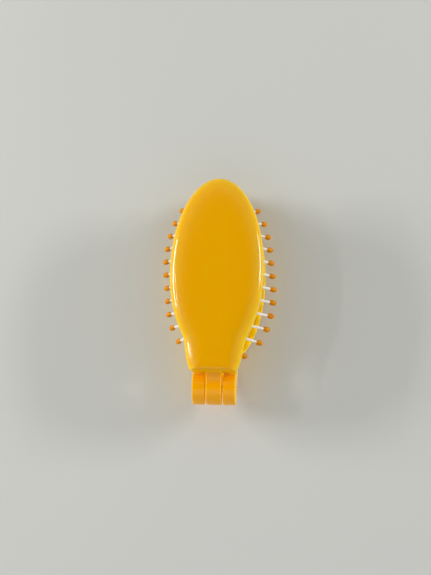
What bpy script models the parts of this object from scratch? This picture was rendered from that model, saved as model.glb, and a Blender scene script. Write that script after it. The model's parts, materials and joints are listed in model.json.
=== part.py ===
"""A folding pocket brush: a brush half and a mirror half on one hinge, modelled closed.

Sizes below are in millimetres; finish() scales each mesh to metres. +Z is up, +Y points to
the rounded tip and the hinge lies at the -Y end. The mirror half lies under the brush half,
with its back on z = 0.
"""

import math

import bmesh
import bpy
from mathutils import Matrix, Vector
from mathutils.geometry import interpolate_bezier

MM = 0.001
MERGE = 0.0001

# Outlines seen from above: both halves share the rounded end
HALF_WIDTH = 20.4
WIDEST_Y = 8.45
TIP_Y = 49.45
TIP_STEPS = 10
END_Y = -36.35
END_CORNER = 1.2

# The brush half draws in to a neck
NECK_HALF_WIDTH = 10.0
SHOULDER_HANDLE = (20.4, -18.2)
NECK_HANDLE = (9.6, -21.8)
NECK_STEPS = 12

# The mirror half is an oval, with a tongue out to the hinge
OVAL_HANDLE_Y = -24.4
OVAL_END_HANDLE_X = 6.0
OVAL_END_Y = -32.4
OVAL_STEPS = 14
TONGUE_HALF_WIDTH = 9.1
TONGUE_TOP_Y = -28.6

# How the outline draws in: width by the full reach, length by less, so the walls stay even
MIDDLE_Y = 4.45
LENGTH_SHRINK = 0.47

# Heights, closed, from the mirror half's back to the brush half's top
MIRROR_WALL_LOW = 4.5
MIRROR_RIM = 8.5
BRUSH_RIM = 20.0
BRUSH_WALL_TOP = 24.0
TOP = 28.5
CROWN_POWER = 5.0
CROWN_STEPS = 7
BACK_FLAT_STEPS = 5

# Inside of the shells, as a share of the full half width
INNER_REACH = 0.917
FIT_REACH = 0.902
BRUSH_LEDGE_REACH = 0.865
BRUSH_LEDGE_Z = 23.9
BRUSH_CEILING = 26.8
MIRROR_LEDGE_REACH = 0.80
MIRROR_LEDGE_Z = 4.9
MIRROR_HOLLOW_TOP = 4.3
MIRROR_FLOOR = 1.8

# Mirror, its foam tape and the bezel pressed in over its edge
TAPE_REACH = 0.825
TAPE_LOW = 5.2
TAPE_TOP = 5.8
MIRROR_LOW = 6.1
MIRROR_FACE = 7.7
BEZEL_REACH = 0.79
BEZEL_LOW = 7.9
BEZEL_TOP = 8.5

# Cushion and the ring that holds its flange
RING_REACH = 0.852
RING_LOW = 20.3
RING_TOP = 22.1
FLANGE_LOW = 22.4
FLANGE_TOP = 23.6
DOME_REACH = 0.84
DOME_INNER_REACH = 0.776
DOME_BULGE = 3.0
DOME_POWER = 2.4
DOME_STEPS = 7

# Pins: ROWS rows across, one pitch apart at the tips
ROWS = 13
FIRST_ROW = -5
ROW_PITCH = 6.0
ROW_ZERO_Y = 2.55
END_LEAN = 5.0
LEAN_LENGTH = 40.0
PIN_RING_Y = 6.0
PIN_RING_POWER = 2.5
TIP_RING = (23.65, 41.1, 35.8)
ROOT_RING = (13.9, 36.0, 33.0)
SWAY_LOW = 0.75
SWAY_HIGH = -0.74
SWAY_LOW_Y = -3.0
SWAY_HIGH_Y = 18.0
ROOT_SPACING = 5.4
ROOT_Z = 20.5
TIP_Z = 10.9
STEM_RADIUS = 0.62
BALL_RADIUS = 1.2
BALL_HALF_LENGTH = 1.9
BALL_SHOULDER_RADIUS = 0.96
BALL_SHOULDER = 1.14
BALL_FOOT = 1.8
PIN_SIDES = 6
HOLE_RADIUS = 0.95
HOLE_SIDES = 8
HOLE_LOW_Z = 16.5

# Strips that carry the pins behind the cushion
STRIP_LOW = 23.2
STRIP_TOP = 24.5
STRIP_WIDTH = 2.4
STRIP_END = 1.3

# Hinge
HINGE_Y = -42.15
HINGE_Z = 14.25
KNUCKLE_RADIUS = 7.3
KNUCKLE_STEPS = 20
MIDDLE_KNUCKLE_HALF = 3.35
OUTER_KNUCKLE_IN = 3.95
OUTER_KNUCKLE_OUT = 9.3
ARM_END_Y = -35.55
ARM_UNDER_TURN = 38.0
ARM_RISE = 3.6
ARM_STEPS = 5
ARM_FOOT = 6.15
KNUCKLE_EDGE = 0.4
PIN_RADIUS = 1.2
BORE_RADIUS = 1.5
BORE_SIDES = 20
PIN_HALF_LENGTH = 9.1

YELLOW = (0.89, 0.47, 0.003, 1.0)


def clear_scene():
    """Start from an empty scene."""
    for item in list(bpy.data.objects):
        bpy.data.objects.remove(item, do_unlink=True)


def material(name, colour, roughness, metallic=0.0):
    """A plain Principled material."""
    made = bpy.data.materials.new(name)
    made.use_nodes = True
    shader = made.node_tree.nodes["Principled BSDF"]
    shader.inputs["Base Color"].default_value = colour
    shader.inputs["Roughness"].default_value = roughness
    shader.inputs["Metallic"].default_value = metallic
    return made


def finish(bm, name, finish_material=None, smooth_angle=None):
    """Turn a bmesh drawn in millimetres into an object in metres."""
    bmesh.ops.remove_doubles(bm, verts=bm.verts, dist=MERGE)
    bmesh.ops.recalc_face_normals(bm, faces=bm.faces)
    bmesh.ops.scale(bm, vec=(MM, MM, MM), verts=bm.verts)
    mesh = bpy.data.meshes.new(name)
    bm.to_mesh(mesh)
    bm.free()
    made = bpy.data.objects.new(name, mesh)
    bpy.context.scene.collection.objects.link(made)
    if finish_material:
        mesh.materials.append(finish_material)
    if smooth_angle:
        smooth(made, smooth_angle)
    return made


def smooth(made, degrees):
    """Shade smooth, and keep edges sharper than this angle."""
    made.data.shade_smooth()
    made.data.set_sharp_from_angle(angle=math.radians(degrees))


def combine(target, tool, operation):
    """Boolean the tool into the target and remove the tool."""
    modifier = target.modifiers.new(operation.lower(), "BOOLEAN")
    modifier.operation = operation
    modifier.solver = "EXACT"
    modifier.object = tool
    depsgraph = bpy.context.evaluated_depsgraph_get()
    result = bpy.data.meshes.new_from_object(target.evaluated_get(depsgraph))
    target.modifiers.clear()
    target.data = result
    bpy.data.objects.remove(tool, do_unlink=True)


def end_corner(half_width):
    """A square end with rounded corners, from its +X side to the middle."""
    inner = half_width - END_CORNER
    bend = END_CORNER * math.sqrt(0.5)
    return [
        Vector((half_width, END_Y + END_CORNER, 0.0)),
        Vector((inner + bend, END_Y + END_CORNER - bend, 0.0)),
        Vector((inner, END_Y, 0.0)),
        Vector((0.0, END_Y, 0.0)),
    ]


def neck_side():
    """The brush half's side, from its widest point to the middle of its end."""
    corner = end_corner(NECK_HALF_WIDTH)
    shoulder = interpolate_bezier(
        Vector((HALF_WIDTH, WIDEST_Y, 0.0)),
        Vector((*SHOULDER_HANDLE, 0.0)),
        Vector((*NECK_HANDLE, 0.0)),
        corner[0],
        NECK_STEPS,
    )
    return shoulder + corner[1:]


def oval_side():
    """The same for the mirror half's oval."""
    return interpolate_bezier(
        Vector((HALF_WIDTH, WIDEST_Y, 0.0)),
        Vector((HALF_WIDTH, OVAL_HANDLE_Y, 0.0)),
        Vector((OVAL_END_HANDLE_X, OVAL_END_Y, 0.0)),
        Vector((0.0, OVAL_END_Y, 0.0)),
        OVAL_STEPS,
    )


def tongue_side():
    """The oval with its end drawn out into the hinge's tongue, point for point."""
    tongue = [Vector((TONGUE_HALF_WIDTH, TONGUE_TOP_Y, 0.0))] + end_corner(TONGUE_HALF_WIDTH)
    return oval_side()[: -len(tongue)] + tongue


def outline(side):
    """Points round a half, from the tip down the +X side and up the other."""
    points = []
    for step in range(TIP_STEPS):
        turn = 0.5 * math.pi * step / TIP_STEPS
        along = WIDEST_Y + (TIP_Y - WIDEST_Y) * math.cos(turn)
        points.append(Vector((HALF_WIDTH * math.sin(turn), along, 0.0)))
    points += side
    return points + [Vector((-point.x, point.y, 0.0)) for point in reversed(points[1:-1])]


def length_scale(reach):
    """How much of the length is left at this reach of the width."""
    return 1.0 - LENGTH_SHRINK * (1.0 - reach)


def first_ring(bm, side, reach, height):
    """An outline drawn as a ring of edges at one reach and height."""
    verts = []
    for point in outline(side):
        along = MIDDLE_Y + (point.y - MIDDLE_Y) * length_scale(reach)
        verts.append(bm.verts.new((point.x * reach, along, height)))
    return [bm.edges.new(pair) for pair in zip(verts, verts[1:] + verts[:1])]


def draw_on(bm, ring, sections):
    """Extrude a ring through (reach, height) sections; sections[0] is where it stands."""
    for (reach, height), (next_reach, next_height) in zip(sections, sections[1:]):
        grown = bmesh.ops.extrude_edge_only(bm, edges=ring)["geom"]
        verts = [item for item in grown if isinstance(item, bmesh.types.BMVert)]
        ring_set = set(verts)
        ring = [
            item
            for item in grown
            if isinstance(item, bmesh.types.BMEdge) and set(item.verts) <= ring_set
        ]
        across = next_reach / reach
        along = length_scale(next_reach) / length_scale(reach)
        bmesh.ops.scale(
            bm,
            vec=(across, along, 1.0),
            verts=verts,
            space=Matrix.Translation((0.0, -MIDDLE_Y, 0.0)),
        )
        bmesh.ops.translate(bm, vec=(0.0, 0.0, next_height - height), verts=verts)
    return ring


def crown(reach, base, rise, power, steps, last=None):
    """Sections of a domed face, from its edge at the base to its middle."""
    sections = []
    for step in range(1, (last or steps) + 1):
        turn = 0.5 * math.pi * step / steps
        share = max(math.cos(turn), 0.0) ** (2.0 / power)
        if step == steps:
            share = 0.0
        sections.append((reach * share, base + rise * math.sin(turn)))
    return sections


def brush_shell_mesh(bm):
    """The brush half's shell: a wall with a crowned back, and a ledge for the cushion."""
    rim = (1.0, BRUSH_RIM)
    ring = first_ring(bm, neck_side(), *rim)
    outside = [rim, (1.0, BRUSH_WALL_TOP)]
    outside += crown(1.0, BRUSH_WALL_TOP, TOP - BRUSH_WALL_TOP, CROWN_POWER, CROWN_STEPS)
    draw_on(bm, ring, outside)
    inside = [rim, (INNER_REACH, BRUSH_RIM), (INNER_REACH, BRUSH_LEDGE_Z)]
    inside += [(BRUSH_LEDGE_REACH, BRUSH_LEDGE_Z)]
    ceiling_rise = BRUSH_CEILING - BRUSH_LEDGE_Z
    inside += crown(BRUSH_LEDGE_REACH, BRUSH_LEDGE_Z, ceiling_rise, CROWN_POWER, CROWN_STEPS)
    draw_on(bm, ring, inside)


def mirror_shell_mesh(bm):
    """The mirror half's shell: a flat-backed tray with a ledge under the oval mirror."""
    rim = (1.0, MIRROR_RIM)
    inner_rim = (INNER_REACH, MIRROR_RIM)
    ring = first_ring(bm, tongue_side(), *rim)
    inner_ring = first_ring(bm, oval_side(), *inner_rim)
    bmesh.ops.bridge_loops(bm, edges=ring + inner_ring)
    flat_turn = 0.5 * math.pi * BACK_FLAT_STEPS / CROWN_STEPS
    drop = -MIRROR_WALL_LOW / math.sin(flat_turn)
    outside = [rim, (1.0, MIRROR_WALL_LOW)]
    outside += crown(1.0, MIRROR_WALL_LOW, drop, CROWN_POWER, CROWN_STEPS, BACK_FLAT_STEPS)
    back = draw_on(bm, ring, outside)
    bmesh.ops.edgeloop_fill(bm, edges=back)
    inside = [inner_rim, (INNER_REACH, MIRROR_LEDGE_Z), (MIRROR_LEDGE_REACH, MIRROR_LEDGE_Z)]
    inside += [(MIRROR_LEDGE_REACH, MIRROR_HOLLOW_TOP)]
    drop = -(MIRROR_HOLLOW_TOP - MIRROR_FLOOR) / math.sin(flat_turn)
    inside += crown(
        MIRROR_LEDGE_REACH, MIRROR_HOLLOW_TOP, drop, CROWN_POWER, CROWN_STEPS, BACK_FLAT_STEPS
    )
    floor = draw_on(bm, inner_ring, inside)
    bmesh.ops.edgeloop_fill(bm, edges=floor)


def flat_ring(name, side, outer, inner, low, high, finish_material):
    """A flat ring that follows an outline."""
    bm = bmesh.new()
    sections = [(outer, low), (outer, high), (inner, high), (inner, low), (outer, low)]
    draw_on(bm, first_ring(bm, side, outer, low), sections)
    return finish(bm, name, finish_material, 40.0)


def flat_plate(name, side, reach, low, high, finish_material):
    """A flat plate that follows an outline."""
    bm = bmesh.new()
    lower = first_ring(bm, side, reach, low)
    upper = draw_on(bm, lower, [(reach, low), (reach, high)])
    bmesh.ops.edgeloop_fill(bm, edges=lower)
    bmesh.ops.edgeloop_fill(bm, edges=upper)
    return finish(bm, name, finish_material, 40.0)


def knuckle_profile(side):
    """Side view of a knuckle and its arm; side is 1 for the brush half, -1 for the other."""
    points = []
    full_turn = 270.0 + ARM_UNDER_TURN
    for step in range(KNUCKLE_STEPS + 1):
        turn = math.radians(90.0 + full_turn * step / KNUCKLE_STEPS)
        along = HINGE_Y + KNUCKLE_RADIUS * math.cos(turn)
        points.append((along, KNUCKLE_RADIUS * math.sin(turn)))
    points.append((ARM_END_Y, ARM_FOOT))
    points.append((ARM_END_Y, KNUCKLE_RADIUS + ARM_RISE))
    for step in range(ARM_STEPS, 0, -1):
        turn = 0.5 * math.pi * step / ARM_STEPS
        along = HINGE_Y + (END_Y - HINGE_Y) * math.sin(turn)
        points.append((along, KNUCKLE_RADIUS + ARM_RISE * (1.0 - math.cos(turn))))
    return [(along, HINGE_Z + side * height) for along, height in points]


def knuckle(low_x, high_x, side):
    """One knuckle with its arm, extruded across and eased at its two faces."""
    bm = bmesh.new()
    verts = [bm.verts.new((low_x, along, height)) for along, height in knuckle_profile(side)]
    face = bm.faces.new(verts)
    grown = bmesh.ops.extrude_face_region(bm, geom=[face], use_keep_orig=True)["geom"]
    far = [item for item in grown if isinstance(item, bmesh.types.BMVert)]
    bmesh.ops.translate(bm, vec=(high_x - low_x, 0.0, 0.0), verts=far)
    rims = [edge for edge in bm.edges if edge.verts[0].co.x == edge.verts[1].co.x]
    bmesh.ops.bevel(
        bm, geom=rims, offset=KNUCKLE_EDGE, segments=1, profile=0.5, affect="EDGES", material=-1
    )
    return finish(bm, "knuckle_tool")


def across_cylinder(name, radius, half_length, sides, finish_material=None):
    """A cylinder on the hinge's axis."""
    bm = bmesh.new()
    bmesh.ops.create_cone(
        bm,
        cap_ends=True,
        segments=sides,
        radius1=radius,
        radius2=radius,
        depth=2.0 * half_length,
        matrix=Matrix.Translation((0.0, HINGE_Y, HINGE_Z)) @ Matrix.Rotation(math.pi / 2, 4, "Y"),
    )
    return finish(bm, name, finish_material, 40.0)


def shell(name, draw, knuckles, side, finish_material):
    """A shell with its knuckles joined on and the pin's bore cut through."""
    bm = bmesh.new()
    draw(bm)
    made = finish(bm, name, finish_material)
    for low_x, high_x in knuckles:
        combine(made, knuckle(low_x, high_x, side), "UNION")
    bore = across_cylinder("bore_tool", BORE_RADIUS, KNUCKLE_RADIUS * 2.0, BORE_SIDES)
    combine(made, bore, "DIFFERENCE")
    smooth(made, 32.0)
    return made


def ring_half_width(along, ring):
    """Half width, at this place along the brush, of an oval (half width, length up, down)."""
    half_width, length_up, length_down = ring
    length = length_up if along > PIN_RING_Y else length_down
    share = abs(along - PIN_RING_Y) / length
    return half_width * (1.0 - share**PIN_RING_POWER) ** (1.0 / PIN_RING_POWER)


def sway(along):
    """How far the pins here stray sideways at their tips: to +X by the neck, to -X beyond."""
    share = (along - SWAY_LOW_Y) / (SWAY_HIGH_Y - SWAY_LOW_Y)
    share = min(max(share, 0.0), 1.0)
    return SWAY_LOW + (SWAY_HIGH - SWAY_LOW) * share * share * (3.0 - 2.0 * share)


def row_pins(row):
    """The (root, tip) of each pin in a row; the outer pins splay and the end rows lean."""
    tip_y = ROW_ZERO_Y + ROW_PITCH * row
    root_y = tip_y - END_LEAN * ((tip_y - ROW_ZERO_Y) / LEAN_LENGTH) ** 3
    root_reach = ring_half_width(root_y, ROOT_RING)
    tip_reach = ring_half_width(tip_y, TIP_RING)
    count = round(2.0 * root_reach / ROOT_SPACING) + 1
    pins = []
    for place in range(count):
        share = 2.0 * place / (count - 1) - 1.0
        root = Vector((share * root_reach, root_y, ROOT_Z))
        tip = Vector((share * tip_reach + sway(tip_y), tip_y, TIP_Z))
        pins.append((root, tip))
    return pins


def along_pin(root, tip, height):
    """The point of a pin's centre line at this height."""
    return root.lerp(tip, (root.z - height) / (root.z - tip.z))


def turn_profile(bm, profile, sides, start, direction):
    """Spin a (radius, distance) profile into a closed body that runs along a direction."""
    before = set(bm.verts)
    verts = [bm.verts.new((radius, 0.0, distance)) for radius, distance in profile]
    edges = [bm.edges.new(pair) for pair in zip(verts, verts[1:])]
    bmesh.ops.spin(
        bm,
        geom=verts + edges,
        axis=(0.0, 0.0, 1.0),
        cent=(0.0, 0.0, 0.0),
        angle=2.0 * math.pi,
        steps=sides,
        use_merge=True,
    )
    turned = [vert for vert in bm.verts if vert not in before]
    aim = direction.to_track_quat("Z", "Y").to_matrix().to_4x4()
    bmesh.ops.transform(bm, matrix=Matrix.Translation(start) @ aim, verts=turned)


def add_pin(bm, root, tip):
    """A straight stem with a bulb at its end, from inside the strip to the tip."""
    start = along_pin(root, tip, 0.5 * (STRIP_LOW + STRIP_TOP))
    run = tip - start
    middle = run.length
    profile = [
        (0.0, 0.0),
        (STEM_RADIUS, 0.0),
        (STEM_RADIUS, middle - BALL_FOOT),
        (BALL_SHOULDER_RADIUS, middle - BALL_SHOULDER),
        (BALL_RADIUS, middle),
        (BALL_SHOULDER_RADIUS, middle + BALL_SHOULDER),
        (0.0, middle + BALL_HALF_LENGTH),
    ]
    turn_profile(bm, profile, PIN_SIDES, start, run)


def pin_row(name, row, finish_material):
    """One strip with its pins."""
    pins = row_pins(row)
    outer_root, outer_tip = pins[-1]
    anchor = along_pin(outer_root, outer_tip, STRIP_LOW)
    bm = bmesh.new()
    size = (2.0 * (anchor.x + STRIP_END), STRIP_WIDTH, STRIP_TOP - STRIP_LOW)
    place = Matrix.Translation((0.0, anchor.y, 0.5 * (STRIP_LOW + STRIP_TOP)))
    bmesh.ops.create_cube(bm, size=1.0, matrix=place @ Matrix.Diagonal((*size, 1.0)))
    made = finish(bm, name, finish_material)
    bm = bmesh.new()
    for root, tip in pins:
        add_pin(bm, root, tip)
    combine(made, finish(bm, "pins_tool"), "UNION")
    smooth(made, 65.0)
    return made


def cushion(name, finish_material):
    """The soft dome the pins stand in, with its clamped flange and a hole for each pin."""
    bm = bmesh.new()
    edge = (FIT_REACH, FLANGE_LOW)
    ring = first_ring(bm, neck_side(), *edge)
    dome = [edge, (DOME_REACH, FLANGE_LOW)]
    dome += crown(DOME_REACH, FLANGE_LOW, -DOME_BULGE, DOME_POWER, DOME_STEPS)
    draw_on(bm, ring, dome)
    back = [edge, (FIT_REACH, FLANGE_TOP), (DOME_INNER_REACH, FLANGE_TOP)]
    back += crown(DOME_INNER_REACH, FLANGE_TOP, -DOME_BULGE, DOME_POWER, DOME_STEPS)
    draw_on(bm, ring, back)
    made = finish(bm, name, finish_material)
    bm = bmesh.new()
    for row in range(FIRST_ROW, FIRST_ROW + ROWS):
        for root, tip in row_pins(row):
            start = along_pin(root, tip, STRIP_TOP)
            run = along_pin(root, tip, HOLE_LOW_Z) - start
            profile = [(0.0, 0.0), (HOLE_RADIUS, 0.0), (HOLE_RADIUS, run.length), (0.0, run.length)]
            turn_profile(bm, profile, HOLE_SIDES, start, run)
    combine(made, finish(bm, "holes_tool"), "DIFFERENCE")
    smooth(made, 50.0)
    return made


def hang_on(name, location, children):
    """Parent parts to an empty that stands on their joint, leaving them where they are."""
    empty = bpy.data.objects.new(name, None)
    empty.location = location
    bpy.context.scene.collection.objects.link(empty)
    for child in children:
        child.parent = empty
        child.matrix_parent_inverse = Matrix.Translation(-Vector(location))


def main():
    """Build both halves and hang the brush half on the hinge."""
    clear_scene()
    yellow = material("yellow_gloss_plastic", YELLOW, 0.16)
    trim = material("yellow_satin_plastic", YELLOW, 0.35)
    rubber = material("cream_rubber", (0.80, 0.74, 0.60, 1.0), 0.55)
    nylon = material("white_nylon", (0.85, 0.82, 0.76, 1.0), 0.35)
    glass = material("mirror_glass", (0.88, 0.90, 0.91, 1.0), 0.03, 1.0)
    foam = material("foam_tape", (0.75, 0.75, 0.72, 1.0), 0.9)
    steel = material("hinge_steel", (0.62, 0.62, 0.60, 1.0), 0.28, 1.0)

    middle = [(-MIDDLE_KNUCKLE_HALF, MIDDLE_KNUCKLE_HALF)]
    outer = [(OUTER_KNUCKLE_IN, OUTER_KNUCKLE_OUT), (-OUTER_KNUCKLE_OUT, -OUTER_KNUCKLE_IN)]
    shell("mirror_back_shell", mirror_shell_mesh, outer, -1, yellow)
    oval = oval_side()
    flat_ring("mirror_tape_ring", oval, FIT_REACH, TAPE_REACH, TAPE_LOW, TAPE_TOP, foam)
    flat_plate("mirror_plate", oval, FIT_REACH, MIRROR_LOW, MIRROR_FACE, glass)
    flat_ring("mirror_bezel", oval, FIT_REACH, BEZEL_REACH, BEZEL_LOW, BEZEL_TOP, trim)
    across_cylinder("hinge_pin", PIN_RADIUS, PIN_HALF_LENGTH, BORE_SIDES, steel)

    neck = neck_side()
    brush_parts = [
        shell("brush_back_shell", brush_shell_mesh, middle, 1, yellow),
        flat_ring("cushion_retainer_ring", neck, FIT_REACH, RING_REACH, RING_LOW, RING_TOP, trim),
        cushion("pin_cushion", rubber),
    ]
    for number in range(ROWS):
        brush_parts.append(pin_row(f"pin_row_{number + 1:02d}", FIRST_ROW + number, nylon))
    hang_on("brush_half_hinge", (0.0, HINGE_Y * MM, HINGE_Z * MM), brush_parts)


main()
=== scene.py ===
"""Looks of the folding pocket brush, built round its fixed frame.

Lengths are in metres. +Y points to the rounded tip, +Z up, and the mirror half lies under the
brush half. Both shells are drawn as rings: an outline seen from above, drawn in to a reach of
its full width and moved to a height.
"""

import json
import math

import bmesh
import bpy
from mathutils import Matrix, Vector
from mathutils.geometry import interpolate_bezier


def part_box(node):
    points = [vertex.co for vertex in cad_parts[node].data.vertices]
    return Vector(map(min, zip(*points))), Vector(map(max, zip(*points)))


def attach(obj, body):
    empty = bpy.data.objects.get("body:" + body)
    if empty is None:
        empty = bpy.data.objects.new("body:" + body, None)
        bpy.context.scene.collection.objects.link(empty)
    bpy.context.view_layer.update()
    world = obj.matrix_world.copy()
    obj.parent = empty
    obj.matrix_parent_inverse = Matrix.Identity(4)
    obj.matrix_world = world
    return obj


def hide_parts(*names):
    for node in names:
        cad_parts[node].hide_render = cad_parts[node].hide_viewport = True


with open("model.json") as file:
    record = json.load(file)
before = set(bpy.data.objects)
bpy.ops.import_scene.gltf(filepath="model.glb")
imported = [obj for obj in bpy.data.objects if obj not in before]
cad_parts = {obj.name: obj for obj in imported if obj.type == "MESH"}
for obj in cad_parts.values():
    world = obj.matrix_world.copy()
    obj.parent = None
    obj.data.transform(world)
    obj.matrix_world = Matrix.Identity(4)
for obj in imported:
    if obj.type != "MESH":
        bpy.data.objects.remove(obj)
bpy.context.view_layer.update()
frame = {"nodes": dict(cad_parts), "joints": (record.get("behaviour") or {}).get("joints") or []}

MM = 0.001
MERGE = 1e-6
CIRCLE_HANDLE = 0.5523

# Places from the frame
BRUSH_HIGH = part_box("brush_back_shell")[1]
RING_LOW, RING_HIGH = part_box("cushion_retainer_ring")
CUSHION_LOW, CUSHION_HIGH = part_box("pin_cushion")
GLASS_LOW, GLASS_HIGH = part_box("mirror_plate")
BEZEL_LOW, BEZEL_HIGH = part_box("mirror_bezel")
AXLE_LOW, AXLE_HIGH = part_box("hinge_pin")
HINGE = Vector(frame["joints"][0]["pos_m"])

# Outlines seen from above: both halves share the rounded end
HALF_WIDTH = BRUSH_HIGH.x
TIP_Y = BRUSH_HIGH.y
WIDEST_Y = TIP_Y - 41.0 * MM
TIP_STEPS = 40
END_Y = TIP_Y - 85.8 * MM
END_CORNER = 1.2 * MM
END_CORNER_STEPS = 6
END_FLAT_STEPS = 4
SIDE_STEPS = 44
MIDDLE_Y = WIDEST_Y - 4.0 * MM
LENGTH_SHRINK = 0.47

# The brush half draws in to a neck
NECK_HALF_WIDTH = 10.0 * MM
SHOULDER_HANDLE_Y = -18.2 * MM
NECK_HANDLE = (9.6 * MM, -21.8 * MM)

# The mirror half is an oval with a tongue out to the hinge
OVAL_HANDLE_Y = -24.4 * MM
OVAL_END_HANDLE_X = 6.0 * MM
OVAL_END_Y = -32.4 * MM
TONGUE_HALF_WIDTH = 9.1 * MM
TONGUE_TOP_Y = -28.6 * MM

# Section through the shells
TOP = BRUSH_HIGH.z
CLOSED_MIDDLE = 0.5 * TOP
RIM_ABOVE_MIDDLE = 5.75 * MM
CROWN = 4.5 * MM
CROWN_POWER = 5.0
INNER_REACH = 0.917
FIT_REACH = RING_HIGH.x / HALF_WIDTH
RIM_EASE = 0.35 * MM
BRUSH_LEDGE_REACH = 0.865
BRUSH_LEDGE_ABOVE_CUSHION = 0.3 * MM
BRUSH_HOLLOW_RISE = 2.9 * MM
MIRROR_LEDGE_REACH = 0.80
MIRROR_LEDGE_BELOW_GLASS = 1.2 * MM
MIRROR_LEDGE_THICKNESS = 0.6 * MM
MIRROR_FLOOR = 1.8 * MM
CROWN_STEPS = 28
MIRROR_CROWN_LAST = 20

# The crown's faces are drawn out to the neck's blunt end
BLUNT_LENGTH = 14.0 * MM
BLUNT_SHARE = 0.1
BLUNT_PASSES = 10

# Hinge knuckles
KNUCKLE_RADIUS = 7.3 * MM
MIDDLE_KNUCKLE = (-3.35 * MM, 3.35 * MM)
OUTER_KNUCKLES = ((3.95 * MM, 9.3 * MM), (-9.3 * MM, -3.95 * MM))
ARM_END_Y = END_Y + 0.8 * MM
ARM_RISE = 3.6 * MM
ARM_FOOT = 6.15 * MM
ARM_UNDER_TURN = 38.0
KNUCKLE_EASE = 0.55 * MM
BARREL_STEPS = 56
ARM_STEPS = 16
BORE_RADIUS = 1.5 * MM
AXLE_RADIUS = 0.5 * (AXLE_HIGH.z - AXLE_LOW.z)

# Trims, glass and cushion
BEZEL_REACH = 0.79
BEZEL_EASE = 0.2 * MM
RING_REACH = 0.852
RING_EASE = 0.3 * MM
GLASS_BEVEL = 0.5 * MM
GLASS_BEVEL_REACH = 0.075
FLANGE_THICKNESS = 1.2 * MM
DOME_REACH = 0.84
DOME_BACK_REACH = 0.776
DOME_POWER = 2.4
PIN_COLLAR = (
    (0.0, 0.0),
    (1.5 * MM, 0.0),
    (1.35 * MM, 0.45 * MM),
    (1.1 * MM, 0.75 * MM),
    (0.7 * MM, 0.95 * MM),
    (0.0, 0.95 * MM),
)

# Colours of the yellow plastic, from the broad faces to the edges, and by the hinge: the paler
# edges are painted light, the deeper faces and the amber by the hinge are painted shade
YELLOW = (0.93, 0.43, 0.0005)
MID_YELLOW = (0.95, 0.49, 0.0005)
LIT_EDGE_YELLOW = (0.97, 0.66, 0.001)
HINGE_SHADE_AMBER = (0.88, 0.31, 0.0002)
LIT_EDGE_BELOW = 9.9 * MM
SHADED_FACE_ABOVE = 13.9 * MM

# Pins
ROWS = 13
FIRST_ROW = -5
ROW_PITCH = 6.0 * MM
ROW_ZERO_Y = 2.55 * MM
END_LEAN = 5.0 * MM
LEAN_LENGTH = 40.0 * MM
PIN_RING_Y = 6.0 * MM
PIN_RING_POWER = 2.5
TIP_RING = (23.65 * MM, 41.1 * MM, 35.8 * MM)
ROOT_RING = (13.9 * MM, 36.0 * MM, 33.0 * MM)
ROOT_SPACING = 5.4 * MM
SWAY_LOW = 0.75 * MM
SWAY_HIGH = -0.74 * MM
SWAY_LOW_Y = -3.0 * MM
SWAY_HIGH_Y = 18.0 * MM
ROOT_Z = 20.5 * MM
TIP_Z = 10.9 * MM
STEM_RADIUS = 0.62 * MM
BULB_RADIUS = 1.25 * MM
BULB_HALF_LENGTH = 2.0 * MM
STRIP_LOW = 23.2 * MM
STRIP_HIGH = 24.5 * MM
STRIP_WIDTH = 2.4 * MM
STRIP_END = 1.3 * MM

# Daylight, and the camera's tilt to the right and to the hinge, with its roll, in degrees
DAYLIGHT = (1.0, 0.98, 0.96)
CAMERA_DISTANCE = 0.45
CAMERA_RIGHT = 5.5
CAMERA_BACK = 12.7
CAMERA_ROLL = 1.96

# Painted glow: emission on the lower half's rim and at the hinge, standing in for light carried
# through the plastic
RIM_GLOW = 0.32
HINGE_GLOW = 0.14
GLOW_FROM = (6.4 * MM, 7.4 * MM)
GLOW_TO = (9.0 * MM, 10.0 * MM)


# ---------------------------------------------------------------- finishes


def new_material(name, colour, roughness):
    """A Principled material, its node tree and its shader."""
    made = bpy.data.materials.new(name)
    made.use_nodes = True
    shader = made.node_tree.nodes["Principled BSDF"]
    shader.inputs["Base Color"].default_value = (*colour, 1.0)
    shader.inputs["Roughness"].default_value = roughness
    return made, made.node_tree, shader


def noise(tree, scale, detail=3.0, stretch=(1.0, 1.0, 1.0)):
    """Noise over the piece's own coordinates."""
    place = tree.nodes.new("ShaderNodeTexCoord")
    mapping = tree.nodes.new("ShaderNodeMapping")
    mapping.inputs["Scale"].default_value = stretch
    made = tree.nodes.new("ShaderNodeTexNoise")
    made.inputs["Scale"].default_value = scale
    made.inputs["Detail"].default_value = detail
    tree.links.new(place.outputs["Object"], mapping.inputs["Vector"])
    tree.links.new(mapping.outputs["Vector"], made.inputs["Vector"])
    return made.outputs["Fac"]


def ramp(tree, factor, stops):
    """A colour ramp; stops are (position, colour)."""
    made = tree.nodes.new("ShaderNodeValToRGB")
    elements = made.color_ramp.elements
    while len(elements) < len(stops):
        elements.new(0.5)
    for element, (position, colour) in zip(elements, stops):
        element.position = position
        element.color = (*colour, 1.0)
    tree.links.new(factor, made.inputs["Fac"])
    return made.outputs["Color"]


def remap(tree, factor, low, high, new_low, new_high):
    """A value moved from one range to another."""
    made = tree.nodes.new("ShaderNodeMapRange")
    made.inputs["From Min"].default_value = low
    made.inputs["From Max"].default_value = high
    made.inputs["To Min"].default_value = new_low
    made.inputs["To Max"].default_value = new_high
    tree.links.new(factor, made.inputs["Value"])
    return made.outputs["Result"]


def bump(tree, shader, height, distance, strength):
    """A bump from a height pattern; distance is in metres."""
    made = tree.nodes.new("ShaderNodeBump")
    made.inputs["Distance"].default_value = distance
    made.inputs["Strength"].default_value = strength
    tree.links.new(height, made.inputs["Height"])
    tree.links.new(made.outputs["Normal"], shader.inputs["Normal"])


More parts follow.
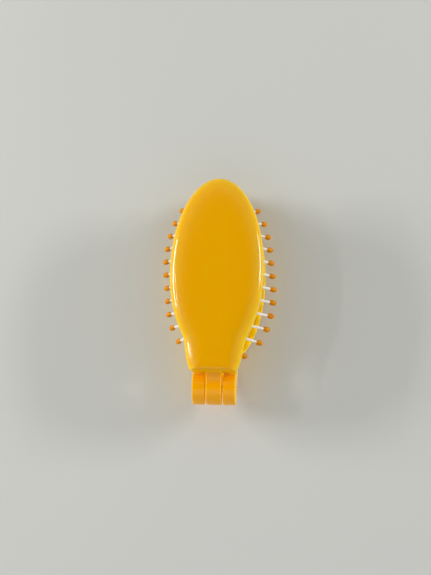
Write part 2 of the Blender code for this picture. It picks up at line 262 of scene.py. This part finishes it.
def math_node(tree, operation, first, second):
    """One sum on two values; the second may be a plain number."""
    made = tree.nodes.new("ShaderNodeMath")
    made.operation = operation
    tree.links.new(first, made.inputs[0])
    if isinstance(second, float):
        made.inputs[1].default_value = second
    else:
        tree.links.new(second, made.inputs[1])
    return made.outputs["Value"]


def knuckle_edge_highlights(tree, across):
    """Painted highlight: how far the painted amber shade pales at the knuckles' edges, from the
    place across the hinge.
    """
    out = math_node(tree, "ABSOLUTE", across, 0.0)
    middle = math_node(tree, "SUBTRACT", out, MIDDLE_KNUCKLE[1])
    middle = math_node(tree, "ABSOLUTE", middle, 0.0)
    middle = remap(tree, middle, 0.1 * MM, 0.6 * MM, 0.6, 0.0)
    ends = remap(tree, out, OUTER_KNUCKLES[0][1] - 0.7 * MM, OUTER_KNUCKLES[0][1], 0.0, 0.6)
    return math_node(tree, "MAXIMUM", middle, ends)


def plastic_colour(tree, place, at_hinge):
    """Painted light and shade: deep on the broad faces, painted paler towards the edges, and a
    painted amber shade by the hinge.
    """
    out = math_node(tree, "SUBTRACT", place.outputs["Z"], CLOSED_MIDDLE)
    out = math_node(tree, "ABSOLUTE", out, 0.0)
    # Painted shade deepens the broad faces away from the rim's height; the paler band round the
    # rim is painted light.
    broad = remap(tree, out, LIT_EDGE_BELOW, SHADED_FACE_ABOVE, 0.0, 0.8)
    # Painted amber shade over the hinge, thinned by painted highlights at the knuckles' edges.
    amber = remap(tree, place.outputs["Y"], HINGE.y - 1.0 * MM, END_Y, 0.9, 1.0)
    amber = math_node(tree, "SUBTRACT", amber, knuckle_edge_highlights(tree, place.outputs["X"]))
    deep = math_node(tree, "MAXIMUM", broad, math_node(tree, "MULTIPLY", amber, at_hinge))
    cloud = noise(tree, 55.0, 2.0, (1.0, 0.35, 1.0))
    deep = math_node(tree, "ADD", deep, remap(tree, cloud, 0.3, 0.7, -0.03, 0.03))
    stops = [(0.0, LIT_EDGE_YELLOW), (0.6, MID_YELLOW), (0.8, YELLOW), (1.0, HINGE_SHADE_AMBER)]
    return ramp(tree, deep, stops)


def painted_glow(tree, place, at_hinge):
    """Strength of a painted glow, emission on the lower half's rim and at the hinge, standing in
    for light the plastic carries there.
    """
    above = remap(tree, place.outputs["Z"], *GLOW_FROM, 0.0, 1.0)
    below = remap(tree, place.outputs["Z"], *GLOW_TO, RIM_GLOW, 0.0)
    lit = math_node(tree, "MULTIPLY", above, below)
    lit = math_node(tree, "MULTIPLY", lit, remap(tree, at_hinge, 0.0, 1.0, 1.0, 0.0))
    return math_node(tree, "MAXIMUM", lit, remap(tree, at_hinge, 0.0, 1.0, 0.0, HINGE_GLOW))


def yellow_plastic(name, roughness):
    """Moulded yellow plastic that lets some light in, with painted light and shade in its colour
    and a painted glow.
    """
    made, tree, shader = new_material(name, YELLOW, roughness)
    coordinates = tree.nodes.new("ShaderNodeTexCoord")
    place = tree.nodes.new("ShaderNodeSeparateXYZ")
    tree.links.new(coordinates.outputs["Object"], place.inputs["Vector"])
    at_hinge = remap(tree, place.outputs["Y"], END_Y - 0.4 * MM, END_Y + 0.4 * MM, 1.0, 0.0)
    # The base colour carries painted light and shade.
    tree.links.new(plastic_colour(tree, place, at_hinge), shader.inputs["Base Color"])
    # Painted glow: emission on the lower half's rim and at the hinge.
    tree.links.new(painted_glow(tree, place, at_hinge), shader.inputs["Emission Strength"])
    shader.inputs["Emission Color"].default_value = (*MID_YELLOW, 1.0)
    wear = noise(tree, 260.0, 4.0)
    rough = remap(tree, wear, 0.3, 0.7, roughness * 0.75, roughness * 1.35)
    tree.links.new(rough, shader.inputs["Roughness"])
    bump(tree, shader, noise(tree, 420.0, 1.5), 0.00002, 0.25)
    shader.inputs["Subsurface Weight"].default_value = 0.25
    shader.inputs["Subsurface Radius"].default_value = (1.0, 0.45, 0.02)
    shader.inputs["Subsurface Scale"].default_value = 0.003
    shader.inputs["Specular IOR Level"].default_value = 0.34
    return made


def nylon():
    """Off-white nylon, slightly milky."""
    made, tree, shader = new_material("white_nylon", (0.88, 0.85, 0.80), 0.32)
    tone = noise(tree, 300.0, 2.0)
    stops = [(0.3, (0.84, 0.80, 0.74)), (0.7, (0.92, 0.90, 0.86))]
    tree.links.new(ramp(tree, tone, stops), shader.inputs["Base Color"])
    rough = remap(tree, noise(tree, 900.0, 2.0), 0.3, 0.7, 0.26, 0.42)
    tree.links.new(rough, shader.inputs["Roughness"])
    shader.inputs["Subsurface Weight"].default_value = 0.3
    shader.inputs["Subsurface Radius"].default_value = (1.0, 0.9, 0.75)
    shader.inputs["Subsurface Scale"].default_value = 0.0008
    return made


def amber_bulb():
    """The glossy amber drop on each pin's end."""
    made, tree, shader = new_material("amber_drop", (0.60, 0.20, 0.0002), 0.14)
    tone = noise(tree, 500.0, 2.0)
    stops = [(0.3, (0.66, 0.23, 0.0001)), (0.7, (0.82, 0.33, 0.0001))]
    tree.links.new(ramp(tree, tone, stops), shader.inputs["Base Color"])
    rough = remap(tree, noise(tree, 1200.0, 2.0), 0.3, 0.7, 0.10, 0.20)
    tree.links.new(rough, shader.inputs["Roughness"])
    shader.inputs["Subsurface Weight"].default_value = 0.3
    shader.inputs["Subsurface Radius"].default_value = (1.0, 0.45, 0.01)
    shader.inputs["Subsurface Scale"].default_value = 0.0008
    shader.inputs["Specular IOR Level"].default_value = 0.12
    return made


def cushion_rubber():
    """Soft cream rubber with a fine matt grain."""
    made, tree, shader = new_material("cream_rubber", (0.80, 0.74, 0.60), 0.6)
    tone = noise(tree, 90.0, 3.0)
    stops = [(0.3, (0.74, 0.67, 0.52)), (0.7, (0.83, 0.77, 0.64))]
    tree.links.new(ramp(tree, tone, stops), shader.inputs["Base Color"])
    rough = remap(tree, noise(tree, 400.0, 3.0), 0.3, 0.7, 0.5, 0.72)
    tree.links.new(rough, shader.inputs["Roughness"])
    bump(tree, shader, noise(tree, 2600.0, 3.0), 0.00005, 0.35)
    shader.inputs["Subsurface Weight"].default_value = 0.15
    shader.inputs["Subsurface Radius"].default_value = (1.0, 0.8, 0.5)
    shader.inputs["Subsurface Scale"].default_value = 0.001
    return made


def mirror_glass():
    """Silvered glass with a faint haze of finger marks."""
    made, tree, shader = new_material("mirror_glass", (0.90, 0.92, 0.92), 0.02)
    shader.inputs["Metallic"].default_value = 1.0
    haze = remap(tree, noise(tree, 70.0, 5.0), 0.45, 0.75, 0.01, 0.09)
    tree.links.new(haze, shader.inputs["Roughness"])
    return made


def foam_tape():
    """Closed-cell foam, matt and pitted."""
    made, tree, shader = new_material("foam_tape", (0.75, 0.75, 0.72), 0.9)
    cells = noise(tree, 1800.0, 2.0)
    stops = [(0.35, (0.62, 0.62, 0.59)), (0.65, (0.80, 0.80, 0.77))]
    tree.links.new(ramp(tree, cells, stops), shader.inputs["Base Color"])
    bump(tree, shader, cells, 0.0001, 0.6)
    return made


def drawn_steel():
    """Drawn steel wire with fine lines along its length."""
    made, tree, shader = new_material("drawn_steel", (0.62, 0.62, 0.60), 0.28)
    shader.inputs["Metallic"].default_value = 1.0
    lines = noise(tree, 500.0, 3.0, (0.05, 1.0, 1.0))
    tree.links.new(remap(tree, lines, 0.3, 0.7, 0.18, 0.42), shader.inputs["Roughness"])
    stops = [(0.3, (0.50, 0.50, 0.49)), (0.7, (0.70, 0.70, 0.68))]
    tree.links.new(ramp(tree, lines, stops), shader.inputs["Base Color"])
    return made


# ---------------------------------------------------------------- shaping


def finish(bm, name, material, smooth_angle=32.0):
    """Close the doubles, turn the faces out and make the object at the origin."""
    bmesh.ops.remove_doubles(bm, verts=bm.verts, dist=MERGE)
    bmesh.ops.recalc_face_normals(bm, faces=bm.faces)
    mesh = bpy.data.meshes.new(name)
    bm.to_mesh(mesh)
    bm.free()
    made = bpy.data.objects.new(name, mesh)
    bpy.context.scene.collection.objects.link(made)
    if material:
        mesh.materials.append(material)
    mesh.shade_smooth()
    mesh.set_sharp_from_angle(angle=math.radians(smooth_angle))
    return made


def end_corner(half_width):
    """A square end with rounded corners, from its +X side to the middle."""
    inner = half_width - END_CORNER
    points = []
    for step in range(END_CORNER_STEPS + 1):
        turn = 0.5 * math.pi * step / END_CORNER_STEPS
        across = inner + END_CORNER * math.cos(turn)
        points.append(Vector((across, END_Y + END_CORNER * (1.0 - math.sin(turn)), 0.0)))
    middle = Vector((0.0, END_Y, 0.0))
    steps = range(1, END_FLAT_STEPS + 1)
    return points + [points[-1].lerp(middle, step / END_FLAT_STEPS) for step in steps]


def neck_side():
    """The brush half's side, from its widest point to the middle of its end."""
    corner = end_corner(NECK_HALF_WIDTH)
    shoulder = interpolate_bezier(
        Vector((HALF_WIDTH, WIDEST_Y, 0.0)),
        Vector((HALF_WIDTH, SHOULDER_HANDLE_Y, 0.0)),
        Vector((*NECK_HANDLE, 0.0)),
        corner[0],
        SIDE_STEPS,
    )
    return shoulder + corner[1:]


def oval_side():
    """The same for the mirror half's oval."""
    return interpolate_bezier(
        Vector((HALF_WIDTH, WIDEST_Y, 0.0)),
        Vector((HALF_WIDTH, OVAL_HANDLE_Y, 0.0)),
        Vector((OVAL_END_HANDLE_X, OVAL_END_Y, 0.0)),
        Vector((0.0, OVAL_END_Y, 0.0)),
        SIDE_STEPS,
    )


def tongue_side():
    """The oval with its end drawn out into the hinge's tongue, point for point."""
    corner = end_corner(TONGUE_HALF_WIDTH)
    top = Vector((TONGUE_HALF_WIDTH, TONGUE_TOP_Y, 0.0))
    side = [point for point in oval_side() if point.x > TONGUE_HALF_WIDTH]
    count = SIDE_STEPS - len(side) - len(corner)
    return side + [top.lerp(corner[0], share / count) for share in range(count)] + corner


def outline(side):
    """Points round a half, from the tip down the +X side and up the other."""
    tip = Vector((0.0, TIP_Y, 0.0))
    widest = Vector((HALF_WIDTH, WIDEST_Y, 0.0))
    tip_handle = Vector((CIRCLE_HANDLE * HALF_WIDTH, TIP_Y, 0.0))
    side_handle = Vector((HALF_WIDTH, WIDEST_Y + CIRCLE_HANDLE * (TIP_Y - WIDEST_Y), 0.0))
    points = interpolate_bezier(tip, tip_handle, side_handle, widest, TIP_STEPS)[:-1] + side
    return points + [Vector((-point.x, point.y, 0.0)) for point in reversed(points[1:-1])]


def length_scale(reach):
    """How much of the length is left at this reach of the width."""
    return 1.0 - LENGTH_SHRINK * (1.0 - reach)


def first_ring(bm, side, reach, height):
    """An outline as a ring of edges at one reach and height."""
    verts = []
    for point in outline(side):
        along = MIDDLE_Y + (point.y - MIDDLE_Y) * length_scale(reach)
        verts.append(bm.verts.new((point.x * reach, along, height)))
    return [bm.edges.new(pair) for pair in zip(verts, verts[1:] + verts[:1])]


def draw_on(bm, ring, sections):
    """Extrude a ring through (reach, height) sections; sections[0] is where it stands."""
    for (reach, height), (next_reach, next_height) in zip(sections, sections[1:]):
        grown = bmesh.ops.extrude_edge_only(bm, edges=ring)["geom"]
        verts = [item for item in grown if isinstance(item, bmesh.types.BMVert)]
        new_verts = set(verts)
        ring = [
            item
            for item in grown
            if isinstance(item, bmesh.types.BMEdge) and set(item.verts) <= new_verts
        ]
        along = length_scale(next_reach) / length_scale(reach)
        bmesh.ops.scale(
            bm,
            vec=(next_reach / reach, along, 1.0),
            verts=verts,
            space=Matrix.Translation((0.0, -MIDDLE_Y, 0.0)),
        )
        bmesh.ops.translate(bm, vec=(0.0, 0.0, next_height - height), verts=verts)
    return ring


def crown(reach, base, rise, power, steps, last=None):
    """Sections of a domed face, from its edge at the base to its middle."""
    sections = []
    for step in range(1, (last or steps) + 1):
        turn = 0.5 * math.pi * step / steps
        share = max(math.cos(turn), 0.0) ** (2.0 / power)
        if step == steps:
            share = 0.0
        sections.append((reach * share, base + rise * math.sin(turn)))
    return sections


# ---------------------------------------------------------------- shells


def knuckle_profile(side):
    """Side view of a knuckle and its arm; side is 1 for the brush half, -1 for the other."""
    points = []
    for step in range(BARREL_STEPS + 1):
        turn = math.radians(90.0 + (270.0 + ARM_UNDER_TURN) * step / BARREL_STEPS)
        along = HINGE.y + KNUCKLE_RADIUS * math.cos(turn)
        points.append((along, KNUCKLE_RADIUS * math.sin(turn)))
    points.append((ARM_END_Y, ARM_FOOT))
    points.append((ARM_END_Y, KNUCKLE_RADIUS + ARM_RISE))
    for step in range(ARM_STEPS, 0, -1):
        turn = 0.5 * math.pi * step / ARM_STEPS
        along = HINGE.y + (END_Y - HINGE.y) * math.sin(turn)
        points.append((along, KNUCKLE_RADIUS + ARM_RISE * (1.0 - math.cos(turn))))
    return [(along, HINGE.z + side * height) for along, height in points]


def knuckle(low_x, high_x, side):
    """One knuckle with its arm, extruded across and rounded at its two faces."""
    bm = bmesh.new()
    verts = [bm.verts.new((low_x, along, height)) for along, height in knuckle_profile(side)]
    face = bm.faces.new(verts)
    grown = bmesh.ops.extrude_face_region(bm, geom=[face], use_keep_orig=True)["geom"]
    far = [item for item in grown if isinstance(item, bmesh.types.BMVert)]
    bmesh.ops.translate(bm, vec=(high_x - low_x, 0.0, 0.0), verts=far)
    bmesh.ops.recalc_face_normals(bm, faces=bm.faces)
    rims = [edge for edge in bm.edges if abs(edge.verts[0].co.x - edge.verts[1].co.x) < MERGE]
    bmesh.ops.bevel(
        bm,
        geom=rims,
        offset=KNUCKLE_EASE,
        segments=4,
        profile=0.5,
        affect="EDGES",
        material=-1,
        clamp_overlap=True,
    )
    return finish(bm, "knuckle_tool", None)


def across_cylinder(name, radius, half_length, sides, material=None, ease=0.0):
    """A cylinder on the hinge's axis, its ends rounded if ease is given."""
    bm = bmesh.new()
    turn = Matrix.Rotation(0.5 * math.pi, 4, "Y")
    bmesh.ops.create_cone(
        bm,
        cap_ends=True,
        segments=sides,
        radius1=radius,
        radius2=radius,
        depth=2.0 * half_length,
        matrix=Matrix.Translation(HINGE) @ turn,
    )
    if ease:
        rims = [edge for edge in bm.edges if abs(edge.verts[0].co.x - edge.verts[1].co.x) < MERGE]
        bmesh.ops.bevel(
            bm, geom=rims, offset=ease, segments=3, profile=0.5, affect="EDGES", material=-1
        )
    return finish(bm, name, material)


def combine(target, tool, operation):
    """Boolean the tool into the target and remove the tool."""
    modifier = target.modifiers.new(operation.lower(), "BOOLEAN")
    modifier.operation = operation
    modifier.object = tool
    depsgraph = bpy.context.evaluated_depsgraph_get()
    result = bpy.data.meshes.new_from_object(target.evaluated_get(depsgraph))
    target.modifiers.clear()
    target.data = result
    bpy.data.objects.remove(tool, do_unlink=True)


def blunt_neck(bm, low):
    """Draw the crown's faces out towards the neck's end, and melt the ridges at its corners."""
    crown_verts = [vert for vert in bm.verts if vert.co.z > low + MERGE]
    for vert in crown_verts:
        run = vert.co.y - END_Y
        share = min(run / BLUNT_LENGTH, 1.0)
        eased = share**3
        vert.co.y = END_Y + run * (BLUNT_SHARE + (1.0 - BLUNT_SHARE) * eased)
    ridges = [vert for vert in crown_verts if vert.co.y < END_Y + BLUNT_LENGTH]
    ridges = [vert for vert in ridges if vert.co.z > low + 0.35 * CROWN]
    for _ in range(BLUNT_PASSES):
        bmesh.ops.smooth_vert(
            bm, verts=ridges, factor=0.5, use_axis_x=True, use_axis_y=True, use_axis_z=True
        )


def draw_brush_shell(bm):
    """Wall, crowned back and the ledge inside for the cushion's flange."""
    rim = CLOSED_MIDDLE + RIM_ABOVE_MIDDLE
    wall_top = TOP - CROWN
    outer_rim = 1.0 - RIM_EASE / HALF_WIDTH
    ring = first_ring(bm, neck_side(), outer_rim, rim)
    outside = [(outer_rim, rim), (1.0 - 0.3 * RIM_EASE / HALF_WIDTH, rim + 0.3 * RIM_EASE)]
    outside += [(1.0, rim + RIM_EASE), (1.0, wall_top)]
    outside += crown(1.0, wall_top, CROWN, CROWN_POWER, CROWN_STEPS)
    draw_on(bm, ring, outside)
    blunt_neck(bm, wall_top)
    ledge_z = CUSHION_HIGH.z + BRUSH_LEDGE_ABOVE_CUSHION
    inside = [(outer_rim, rim), (INNER_REACH + RIM_EASE / HALF_WIDTH, rim)]
    inside += [(INNER_REACH, rim + RIM_EASE), (INNER_REACH, ledge_z)]
    inside += [(BRUSH_LEDGE_REACH, ledge_z)]
    inside += crown(BRUSH_LEDGE_REACH, ledge_z, BRUSH_HOLLOW_RISE, CROWN_POWER, 12)
    draw_on(bm, ring, inside)


def draw_mirror_shell(bm):
    """A tray, flat on its back, with a ledge for the oval mirror."""
    rim = CLOSED_MIDDLE - RIM_ABOVE_MIDDLE
    outer_rim = 1.0 - RIM_EASE / HALF_WIDTH
    drop = -CROWN / math.sin(0.5 * math.pi * MIRROR_CROWN_LAST / CROWN_STEPS)
    ring = first_ring(bm, tongue_side(), outer_rim, rim)
    inner_rim = INNER_REACH + RIM_EASE / HALF_WIDTH
    inner_ring = first_ring(bm, oval_side(), inner_rim, rim)
    bmesh.ops.bridge_loops(bm, edges=ring + inner_ring)
    outside = [(outer_rim, rim), (1.0 - 0.3 * RIM_EASE / HALF_WIDTH, rim - 0.3 * RIM_EASE)]
    outside += [(1.0, rim - RIM_EASE), (1.0, CROWN)]
    outside += crown(1.0, CROWN, drop, CROWN_POWER, CROWN_STEPS, MIRROR_CROWN_LAST)
    bmesh.ops.edgeloop_fill(bm, edges=draw_on(bm, ring, outside))
    ledge_z = GLASS_LOW.z - MIRROR_LEDGE_BELOW_GLASS
    hollow_top = ledge_z - MIRROR_LEDGE_THICKNESS
    hollow_drop = MIRROR_FLOOR - hollow_top
    inside = [(inner_rim, rim), (INNER_REACH, rim - RIM_EASE)]
    inside += [(INNER_REACH, ledge_z), (MIRROR_LEDGE_REACH, ledge_z)]
    inside += [(MIRROR_LEDGE_REACH, hollow_top)]
    inside += crown(MIRROR_LEDGE_REACH, hollow_top, hollow_drop, CROWN_POWER, 10, 8)
    bmesh.ops.edgeloop_fill(bm, edges=draw_on(bm, inner_ring, inside))


def shell(name, draw, knuckles, side, material):
    """A shell with its knuckles joined on and the pin's bore cut through."""
    bm = bmesh.new()
    draw(bm)
    made = finish(bm, name, material)
    for low_x, high_x in knuckles:
        combine(made, knuckle(low_x, high_x, side), "UNION")
    bore = across_cylinder("bore_tool", BORE_RADIUS, 2.0 * KNUCKLE_RADIUS, 40)
    combine(made, bore, "DIFFERENCE")
    made.data.shade_smooth()
    made.data.set_sharp_from_angle(angle=math.radians(28.0))
    return made


# ---------------------------------------------------------------- inner pieces


def mirror_bezel(material):
    """The flat bezel pressed in over the mirror's edge."""
    inner = BEZEL_REACH
    ease = BEZEL_EASE / HALF_WIDTH
    low = BEZEL_LOW.z
    high = BEZEL_HIGH.z
    bm = bmesh.new()
    start = (FIT_REACH, low)
    sections = [start, (FIT_REACH, high - BEZEL_EASE), (FIT_REACH - ease, high)]
    sections += [(inner + 3.0 * ease, high), (inner, high - 2.0 * BEZEL_EASE)]
    sections += [(inner, low), start]
    draw_on(bm, first_ring(bm, oval_side(), *start), sections)
    return finish(bm, "mirror_bezel_trim", material)


def retainer_ring(material):
    """The ring that holds the cushion's flange, eased on its seen edges."""
    inner = RING_REACH
    ease = RING_EASE / HALF_WIDTH
    low = RING_LOW.z
    high = RING_HIGH.z
    bm = bmesh.new()
    start = (FIT_REACH - ease, low)
    sections = [start, (FIT_REACH, low + RING_EASE), (FIT_REACH, high), (inner, high)]
    sections += [(inner, low + RING_EASE), (inner + ease, low), start]
    draw_on(bm, first_ring(bm, neck_side(), *start), sections)
    return finish(bm, "cushion_ring", material)


def mirror_plate(material):
    """Glass with a ground bevel round its face."""
    low = GLASS_LOW.z
    high = GLASS_HIGH.z
    reach = GLASS_HIGH.x / HALF_WIDTH
    bm = bmesh.new()
    edge = first_ring(bm, oval_side(), reach, low)
    sections = [(reach, low), (reach, high - GLASS_BEVEL)]
    sections += [(reach - 0.002, high - 0.9 * GLASS_BEVEL), (reach - GLASS_BEVEL_REACH, high)]
    face = draw_on(bm, edge, sections)
    bmesh.ops.edgeloop_fill(bm, edges=edge)
    bmesh.ops.edgeloop_fill(bm, edges=face)
    return finish(bm, "mirror_glass", material, 3.0)


def ring_half_width(along, ring):
    """Half width, at this place along the brush, of an oval (half width, length up, down)."""
    half_width, length_up, length_down = ring
    length = length_up if along > PIN_RING_Y else length_down
    share = abs(along - PIN_RING_Y) / length
    return half_width * (1.0 - share**PIN_RING_POWER) ** (1.0 / PIN_RING_POWER)


def sway(along):
    """How far the pins here stray sideways at their tips: to +X by the neck, to -X beyond."""
    share = (along - SWAY_LOW_Y) / (SWAY_HIGH_Y - SWAY_LOW_Y)
    share = min(max(share, 0.0), 1.0)
    return SWAY_LOW + (SWAY_HIGH - SWAY_LOW) * share * share * (3.0 - 2.0 * share)


def row_pins(row):
    """The (root, tip) of each pin in a row."""
    tip_y = ROW_ZERO_Y + ROW_PITCH * row
    root_y = tip_y - END_LEAN * ((tip_y - ROW_ZERO_Y) / LEAN_LENGTH) ** 3
    root_reach = ring_half_width(root_y, ROOT_RING)
    tip_reach = ring_half_width(tip_y, TIP_RING)
    count = round(2.0 * root_reach / ROOT_SPACING) + 1
    pins = []
    for place in range(count):
        share = 2.0 * place / (count - 1) - 1.0
        root = Vector((share * root_reach, root_y, ROOT_Z))
        tip = Vector((share * tip_reach + sway(tip_y), tip_y, TIP_Z))
        pins.append((root, tip))
    return pins


def along_pin(root, tip, height):
    """The point of a pin's centre line at this height."""
    return root.lerp(tip, (root.z - height) / (root.z - tip.z))


def turn_profile(bm, profile, sides, start, direction):
    """Spin a (radius, distance) profile into a closed body that runs along a direction."""
    before = set(bm.verts)
    verts = [bm.verts.new((radius, 0.0, distance)) for radius, distance in profile]
    edges = [bm.edges.new(pair) for pair in zip(verts, verts[1:])]
    bmesh.ops.spin(
        bm,
        geom=verts + edges,
        axis=(0.0, 0.0, 1.0),
        cent=(0.0, 0.0, 0.0),
        angle=2.0 * math.pi,
        steps=sides,
        use_merge=True,
    )
    turned = [vert for vert in bm.verts if vert not in before]
    aim = direction.to_track_quat("Z", "Y").to_matrix().to_4x4()
    bmesh.ops.transform(bm, matrix=Matrix.Translation(start) @ aim, verts=turned)


def stems(name, row, material):
    """A row's strip with its stems."""
    pins = row_pins(row)
    outer_root, outer_tip = pins[-1]
    anchor = along_pin(outer_root, outer_tip, STRIP_LOW)
    strip_middle = 0.5 * (STRIP_LOW + STRIP_HIGH)
    bm = bmesh.new()
    size = (2.0 * (anchor.x + STRIP_END), STRIP_WIDTH, STRIP_HIGH - STRIP_LOW, 1.0)
    place = Matrix.Translation((0.0, anchor.y, strip_middle))
    bmesh.ops.create_cube(bm, size=1.0, matrix=place @ Matrix.Diagonal(size))
    bmesh.ops.bevel(
        bm,
        geom=bm.edges[:],
        offset=0.3 * MM,
        segments=2,
        profile=0.5,
        affect="EDGES",
        material=-1,
    )
    for root, tip in pins:
        start = along_pin(root, tip, strip_middle)
        run = tip - start
        profile = [(0.0, 0.0), (1.15 * STEM_RADIUS, 0.0), (STEM_RADIUS, 0.5 * run.length)]
        profile += [(0.95 * STEM_RADIUS, run.length), (0.0, run.length)]
        turn_profile(bm, profile, 12, start, run)
    return finish(bm, name, material)


def bulbs(name, row, material):
    """The drops on a row's pins: a collar on the stem that swells into an egg."""
    bm = bmesh.new()
    for root, tip in row_pins(row):
        run = (tip - root).normalized()
        start = tip - run * 1.05 * BULB_HALF_LENGTH
        profile = [(0.0, 0.0), (0.95 * STEM_RADIUS, 0.0), (1.1 * STEM_RADIUS, 0.15 * MM)]
        for step in range(1, 9):
            turn = math.pi * (0.16 + 0.84 * step / 8)
            radius = BULB_RADIUS * math.sin(turn)
            distance = BULB_HALF_LENGTH * (1.05 - math.cos(turn))
            profile.append((max(radius, 0.0) if step < 8 else 0.0, distance))
        turn_profile(bm, profile, 16, start, run)
    return finish(bm, name, material, 60.0)


def cushion(material):
    """The rubber dome with its flange and a low collar round each pin."""
    reach = CUSHION_HIGH.x / HALF_WIDTH
    flange_low = CUSHION_HIGH.z - FLANGE_THICKNESS
    bulge = CUSHION_LOW.z - flange_low
    bm = bmesh.new()
    edge = (reach, flange_low)
    ring = first_ring(bm, neck_side(), *edge)
    dome = [edge, (DOME_REACH, flange_low)]
    dome += crown(DOME_REACH, flange_low, bulge, DOME_POWER, 24)
    draw_on(bm, ring, dome)
    back = [edge, (reach, CUSHION_HIGH.z), (DOME_BACK_REACH, CUSHION_HIGH.z)]
    back += crown(DOME_BACK_REACH, CUSHION_HIGH.z, bulge, DOME_POWER, 16)
    draw_on(bm, ring, back)
    dome_half = DOME_REACH * HALF_WIDTH
    for row in range(FIRST_ROW, FIRST_ROW + ROWS):
        for root, tip in row_pins(row):
            run = (tip - root).normalized()
            share = min(abs(root.x) / dome_half, 0.98)
            depth = flange_low + bulge * (1.0 - share**DOME_POWER) ** 0.5
            start = along_pin(root, tip, depth + 0.5 * MM)
            turn_profile(bm, PIN_COLLAR, 14, start, run)
    return finish(bm, "rubber_cushion", material, 40.0)


# ---------------------------------------------------------------- build

gloss = yellow_plastic("yellow_gloss_plastic", 0.06)
satin = yellow_plastic("yellow_satin_plastic", 0.34)
white = nylon()
amber = amber_bulb()

brush_shell = shell("brush_shell", draw_brush_shell, [MIDDLE_KNUCKLE], 1, gloss)
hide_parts("brush_back_shell")
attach(brush_shell, "brush_half")

mirror_shell = shell("mirror_shell", draw_mirror_shell, OUTER_KNUCKLES, -1, gloss)
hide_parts("mirror_back_shell")
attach(mirror_shell, "mirror_half")

ring = retainer_ring(satin)
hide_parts("cushion_retainer_ring")
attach(ring, "brush_half")

glass = mirror_plate(mirror_glass())
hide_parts("mirror_plate")
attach(glass, "mirror_half")

bezel = mirror_bezel(satin)
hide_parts("mirror_bezel")
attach(bezel, "mirror_half")

axle = across_cylinder(
    "hinge_axle", AXLE_RADIUS, AXLE_HIGH.x, 36, drawn_steel(), 0.25 * MM
)
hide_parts("hinge_pin")
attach(axle, "mirror_half")

tape = frame["nodes"]["mirror_tape_ring"]
tape.data.materials.clear()
tape.data.materials.append(foam_tape())

pad = cushion(cushion_rubber())
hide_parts("pin_cushion")
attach(pad, "brush_half")

for number in range(ROWS):
    row = FIRST_ROW + number
    row_stems = stems(f"pin_stems_{number + 1:02d}", row, white)
    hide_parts(f"pin_row_{number + 1:02d}")
    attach(row_stems, "brush_half")
    row_bulbs = bulbs(f"pin_bulbs_{number + 1:02d}", row, amber)
    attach(row_bulbs, "brush_half")


# ---------------------------------------------------------------- floor, light and camera


def floor():
    """A pale, matt table top."""
    bm = bmesh.new()
    bmesh.ops.create_grid(bm, x_segments=1, y_segments=1, size=3.0)
    made, tree, shader = new_material("table_top", (0.66, 0.67, 0.64), 0.65)
    shader.inputs["Specular IOR Level"].default_value = 0.12
    tone = noise(tree, 3.0, 2.0)
    stops = [(0.3, (0.645, 0.655, 0.620)), (0.7, (0.675, 0.685, 0.655))]
    tree.links.new(ramp(tree, tone, stops), shader.inputs["Base Color"])
    table = finish(bm, "table_top", made)
    table.location.z = -0.0001


def window(name, azimuth, elevation, distance, width, height, power, colour):
    """A soft light from a window low at one side, turned to the brush."""
    light = bpy.data.lights.new(name, "AREA")
    light.shape = "RECTANGLE"
    light.size = width
    light.size_y = height
    light.energy = power
    light.color = colour
    made = bpy.data.objects.new(name, light)
    bpy.context.scene.collection.objects.link(made)
    azimuth = math.radians(azimuth)
    elevation = math.radians(elevation)
    flat = Vector((math.cos(azimuth), math.sin(azimuth), 0.0))
    direction = flat * math.cos(elevation) + Vector((0.0, 0.0, math.sin(elevation)))
    made.location = direction * distance
    made.rotation_euler = (-direction).to_track_quat("-Z", "Y").to_euler()


def room(colour, strength, overhead):
    """Light from all round, weaker straight above where someone leans over the table."""
    world = bpy.data.worlds.new("room")
    world.use_nodes = True
    tree = world.node_tree
    background = tree.nodes["Background"]
    background.inputs["Strength"].default_value = strength
    place = tree.nodes.new("ShaderNodeTexCoord")
    split = tree.nodes.new("ShaderNodeSeparateXYZ")
    tree.links.new(place.outputs["Generated"], split.inputs["Vector"])
    shade = tuple(overhead * part for part in colour)
    stops = [(0.80, colour), (0.955, shade)]
    tree.links.new(ramp(tree, split.outputs["Z"], stops), background.inputs["Color"])
    bpy.context.scene.world = world


def camera():
    """Looks down from the hinge's side, a little from the right."""
    sideways = math.tan(math.radians(CAMERA_RIGHT))
    back = math.tan(math.radians(CAMERA_BACK))
    roll = math.radians(CAMERA_ROLL)
    aim = Vector((0.0, -0.55 * MM, 22.0 * MM))
    look = Vector((-sideways, back, -1.0)).normalized()
    right = look.cross(Vector((0.0, 1.0, 0.0))).normalized()
    up = right.cross(look)
    turned_right = right * math.cos(roll) + up * math.sin(roll)
    turned_up = up * math.cos(roll) - right * math.sin(roll)
    turn = Matrix((turned_right, turned_up, -look)).transposed()
    lens = bpy.data.cameras.new("camera")
    lens.lens = 65.0
    lens.sensor_width = 36.0
    lens.clip_start = 0.01
    lens.shift_x = -0.0017
    lens.shift_y = 0.0047
    made = bpy.data.objects.new("camera", lens)
    made.matrix_world = Matrix.Translation(aim - look * CAMERA_DISTANCE) @ turn.to_4x4()
    bpy.context.scene.collection.objects.link(made)
    bpy.context.scene.camera = made


floor()
room((0.95, 0.965, 0.965), 0.57, 0.03)
window("right_window", 18.0, 20.0, 1.0, 0.36, 0.09, 4.4, DAYLIGHT)
window("left_window", 168.0, 20.0, 1.0, 0.42, 0.09, 5.6, DAYLIGHT)
window("left_slit", 174.0, 38.0, 1.0, 0.3, 0.02, 0.8, DAYLIGHT)
window("front_window", 270.0, 58.0, 1.5, 1.2, 1.0, 1.7, DAYLIGHT)
camera()
bpy.context.scene.view_settings.view_transform = "Standard"
